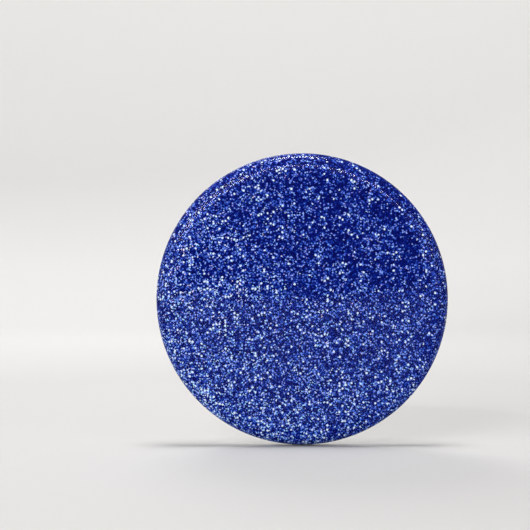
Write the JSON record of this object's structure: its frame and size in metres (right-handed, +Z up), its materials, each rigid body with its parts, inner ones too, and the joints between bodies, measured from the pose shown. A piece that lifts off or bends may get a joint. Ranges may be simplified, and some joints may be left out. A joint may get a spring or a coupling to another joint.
{
  "type": "button badge",
  "caption": "Round domed button badge with a printed glitter face under clear film, a pressed tinplate back and a spring-wire pin that closes under a wire catch.",
  "frame": {"origin": "centre of the badge: on the axis of the disc, half-way between the rolled rim at the back and the top of the domed face", "axes": "as worn: +Z up, the printed face towards -Y, the pin on the +Y side; +X along the pin towards its point"},
  "size_m": [0.0572, 0.0056, 0.0572],
  "materials": {
    "shell_tinplate": "bright tinplate, mostly hidden under the print",
    "printed_paper": "printed blue glitter pattern, white where it rolls over the rim",
    "clear_film": "clear glossy polyester film",
    "plate_tinplate": "bright rolled tinplate with a fine grain",
    "catch_wire": "bright plated wire",
    "spring_wire": "bright nickel-plated spring wire"
  },
  "bodies": {
    "badge": {"front_shell": "shell_tinplate", "printed_disc": "printed_paper", "clear_film": "clear_film", "back_plate": "plate_tinplate", "catch_loop": "catch_wire", "pin_anchor": "spring_wire"},
    "needle": {"pin_needle": "spring_wire"}
  },
  "joints": [
    {"name": "pin_hinge", "type": "hinge", "parent": "badge", "child": "needle", "pos_m": [-0.014, 0.00095, 0.00795], "axis": [0.7071, 0.7071, 0], "range_deg": [0, 60], "stiffness_Nm_per_rad": 0.003}
  ]
}
